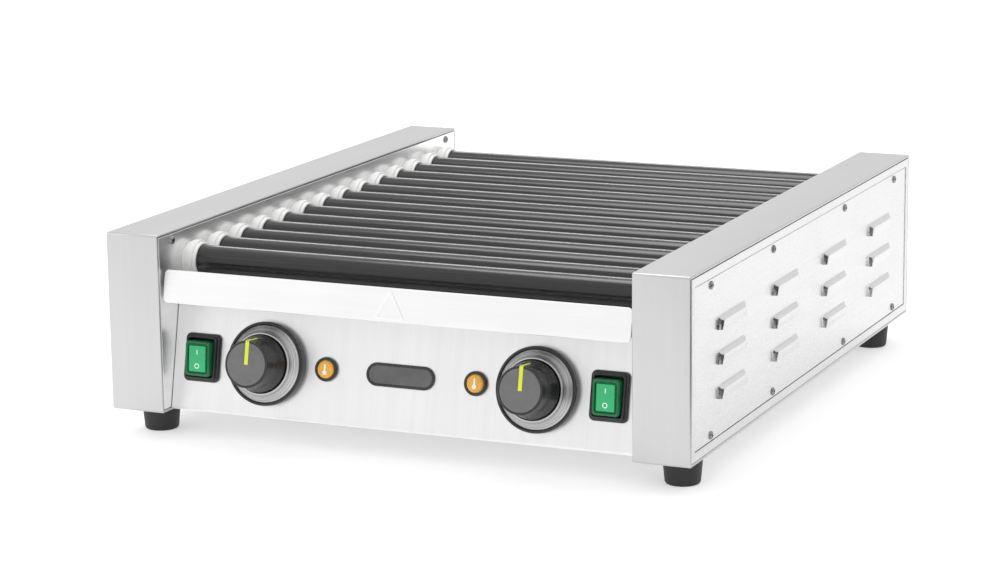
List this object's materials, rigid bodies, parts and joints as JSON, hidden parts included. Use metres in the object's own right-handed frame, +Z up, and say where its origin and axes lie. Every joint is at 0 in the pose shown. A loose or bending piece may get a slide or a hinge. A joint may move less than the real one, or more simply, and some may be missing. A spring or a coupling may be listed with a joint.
{
  "type": "hot dog roller grill",
  "caption": "Table-top roller grill: heated non-stick rollers between stainless side housings, leaning control panel with knobs and switches, slide-out drip tray.",
  "frame": {"origin": "on the surface the feet stand on, at the middle of the whole object's footprint (knobs and louvres included)", "axes": "+X to the user's right, +Y from the control panel to the back, +Z up; the rollers lie along X"},
  "size_m": [0.5188, 0.6025, 0.174],
  "materials": {
    "housing_steel": "fine brushed stainless sheet, grain along the length",
    "cover_steel": "brighter stainless sheet, fine grain",
    "panel_steel": "brushed stainless sheet, grain up the slope",
    "tray_steel": "bright stainless sheet",
    "bracket_steel": "plain sheet steel",
    "screw_steel": "zinc-plated screws",
    "bush_white": "white heat-resistant plastic",
    "roller_coating": "dark non-stick coating, satin",
    "element_sheath": "dull steel sheath",
    "chain_steel": "oiled steel",
    "motor_paint": "grey paint",
    "thermostat_zinc": "zinc-plated steel",
    "knob_black": "black moulded plastic with a grey face and a yellow-green pointer",
    "bezel_black": "black moulded plastic",
    "dial_silver": "spun and turned rings",
    "switch_black": "black moulded plastic",
    "rocker_green": "translucent green plastic",
    "lamp_black": "black moulded plastic",
    "lens_amber": "amber lens",
    "badge_grey": "blank dark plate with a raised black rim",
    "foot_rubber": "black rubber",
    "terminal_white": "white ceramic"
  },
  "bodies": {
    "frame": {"left_housing": "housing_steel", "right_housing": "housing_steel", "left_side_cover": "cover_steel", "right_side_cover": "cover_steel", "cover_screws": "screw_steel", "housing_screws": "screw_steel", "front_panel": "panel_steel", "rear_panel": "panel_steel", "base_plate": "panel_steel", "left_tray_rail": "bracket_steel", "right_tray_rail": "bracket_steel", "left_bushes": "bush_white", "right_bushes": "bush_white", "front_heating_elements": "element_sheath", "rear_heating_elements": "element_sheath", "left_element_bar": "bracket_steel", "right_element_bar": "bracket_steel", "roller_chain": "chain_steel", "motor_chain": "chain_steel", "gear_motor": "motor_paint", "motor_bracket": "bracket_steel", "left_thermostat": "thermostat_zinc", "right_thermostat": "thermostat_zinc", "left_knob_bezel": "bezel_black", "right_knob_bezel": "bezel_black", "left_dial_ring": "dial_silver", "right_dial_ring": "dial_silver", "left_switch_body": "switch_black", "right_switch_body": "switch_black", "lamp_bodies": "lamp_black", "lamp_lenses": "lens_amber", "badge": "badge_grey", "feet": "foot_rubber", "foot_screws": "screw_steel", "terminal_block": "terminal_white", "cable_gland": "switch_black"},
    "roller_01": {"roller_01": "roller_coating"},
    "roller_02": {"roller_02": "roller_coating"},
    "roller_03": {"roller_03": "roller_coating"},
    "roller_04": {"roller_04": "roller_coating"},
    "roller_05": {"roller_05": "roller_coating"},
    "roller_06": {"roller_06": "roller_coating"},
    "roller_07": {"roller_07": "roller_coating"},
    "roller_08": {"roller_08": "roller_coating"},
    "roller_09": {"roller_09": "roller_coating"},
    "roller_10": {"roller_10": "roller_coating"},
    "roller_11": {"roller_11": "roller_coating"},
    "roller_12": {"roller_12": "roller_coating"},
    "roller_13": {"roller_13": "roller_coating"},
    "roller_14": {"roller_14": "roller_coating"},
    "motor_drive": {"motor_sprocket": "chain_steel", "motor_shaft": "chain_steel"},
    "left_thermostat_knob": {"left_knob": "knob_black", "left_spindle": "thermostat_zinc"},
    "right_thermostat_knob": {"right_knob": "knob_black", "right_spindle": "thermostat_zinc"},
    "left_switch_rocker": {"left_rocker": "rocker_green"},
    "right_switch_rocker": {"right_rocker": "rocker_green"},
    "tray": {"drip_tray": "tray_steel", "tray_front": "tray_steel"}
  },
  "joints": [
    {"name": "roller_01_spin", "type": "hinge", "parent": "frame", "child": "roller_01", "pos_m": [0, -0.22875, 0.1445], "axis": [1, 0, 0], "continuous": true},
    {"name": "roller_02_spin", "type": "hinge", "parent": "frame", "child": "roller_02", "pos_m": [0, -0.19065, 0.1445], "axis": [1, 0, 0], "continuous": true},
    {"name": "roller_03_spin", "type": "hinge", "parent": "frame", "child": "roller_03", "pos_m": [0, -0.15255, 0.1445], "axis": [1, 0, 0], "continuous": true},
    {"name": "roller_04_spin", "type": "hinge", "parent": "frame", "child": "roller_04", "pos_m": [0, -0.11445, 0.1445], "axis": [1, 0, 0], "continuous": true},
    {"name": "roller_05_spin", "type": "hinge", "parent": "frame", "child": "roller_05", "pos_m": [0, -0.07635, 0.1445], "axis": [1, 0, 0], "continuous": true},
    {"name": "roller_06_spin", "type": "hinge", "parent": "frame", "child": "roller_06", "pos_m": [0, -0.03825, 0.1445], "axis": [1, 0, 0], "continuous": true},
    {"name": "roller_07_spin", "type": "hinge", "parent": "frame", "child": "roller_07", "pos_m": [0, -0.00015, 0.1445], "axis": [1, 0, 0], "continuous": true},
    {"name": "roller_08_spin", "type": "hinge", "parent": "frame", "child": "roller_08", "pos_m": [0, 0.03795, 0.1445], "axis": [1, 0, 0], "continuous": true},
    {"name": "roller_09_spin", "type": "hinge", "parent": "frame", "child": "roller_09", "pos_m": [0, 0.07605, 0.1445], "axis": [1, 0, 0], "continuous": true},
    {"name": "roller_10_spin", "type": "hinge", "parent": "frame", "child": "roller_10", "pos_m": [0, 0.11415, 0.1445], "axis": [1, 0, 0], "continuous": true},
    {"name": "roller_11_spin", "type": "hinge", "parent": "frame", "child": "roller_11", "pos_m": [0, 0.15225, 0.1445], "axis": [1, 0, 0], "continuous": true},
    {"name": "roller_12_spin", "type": "hinge", "parent": "frame", "child": "roller_12", "pos_m": [0, 0.19035, 0.1445], "axis": [1, 0, 0], "continuous": true},
    {"name": "roller_13_spin", "type": "hinge", "parent": "frame", "child": "roller_13", "pos_m": [0, 0.22845, 0.1445], "axis": [1, 0, 0], "continuous": true},
    {"name": "roller_14_spin", "type": "hinge", "parent": "frame", "child": "roller_14", "pos_m": [0, 0.26655, 0.1445], "axis": [1, 0, 0], "continuous": true},
    {"name": "motor_spin", "type": "hinge", "parent": "frame", "child": "motor_drive", "pos_m": [0, -0.00015, 0.0683], "axis": [1, 0, 0], "continuous": true},
    {"name": "left_knob_turn", "type": "hinge", "parent": "frame", "child": "left_thermostat_knob", "pos_m": [-0.1205, -0.25981, 0.06906], "axis": [0, 0.9781, -0.2079], "range_deg": [0, 270]},
    {"name": "right_knob_turn", "type": "hinge", "parent": "frame", "child": "right_thermostat_knob", "pos_m": [0.1205, -0.25981, 0.06906], "axis": [0, 0.9781, -0.2079], "range_deg": [0, 270]},
    {"name": "left_rocker_tip", "type": "hinge", "parent": "frame", "child": "left_switch_rocker", "pos_m": [-0.181, -0.26177, 0.06948], "axis": [-1, 0, 0], "range_deg": [0, 12]},
    {"name": "right_rocker_tip", "type": "hinge", "parent": "frame", "child": "right_switch_rocker", "pos_m": [0.181, -0.26177, 0.06948], "axis": [-1, 0, 0], "range_deg": [0, 12]},
    {"name": "tray_slide", "type": "slide", "parent": "frame", "child": "tray", "axis": [0, -1, 0], "range_m": [0, 0.45]}
  ],
  "couplings": [
    {"joint": "roller_01_spin", "follows": "roller_07_spin", "ratio": 1},
    {"joint": "roller_02_spin", "follows": "roller_07_spin", "ratio": 1},
    {"joint": "roller_03_spin", "follows": "roller_07_spin", "ratio": 1},
    {"joint": "roller_04_spin", "follows": "roller_07_spin", "ratio": 1},
    {"joint": "roller_05_spin", "follows": "roller_07_spin", "ratio": 1},
    {"joint": "roller_06_spin", "follows": "roller_07_spin", "ratio": 1},
    {"joint": "roller_08_spin", "follows": "roller_07_spin", "ratio": 1},
    {"joint": "roller_09_spin", "follows": "roller_07_spin", "ratio": 1},
    {"joint": "roller_10_spin", "follows": "roller_07_spin", "ratio": 1},
    {"joint": "roller_11_spin", "follows": "roller_07_spin", "ratio": 1},
    {"joint": "roller_12_spin", "follows": "roller_07_spin", "ratio": 1},
    {"joint": "roller_13_spin", "follows": "roller_07_spin", "ratio": 1},
    {"joint": "roller_14_spin", "follows": "roller_07_spin", "ratio": 1},
    {"joint": "motor_spin", "follows": "roller_07_spin", "ratio": 1}
  ]
}
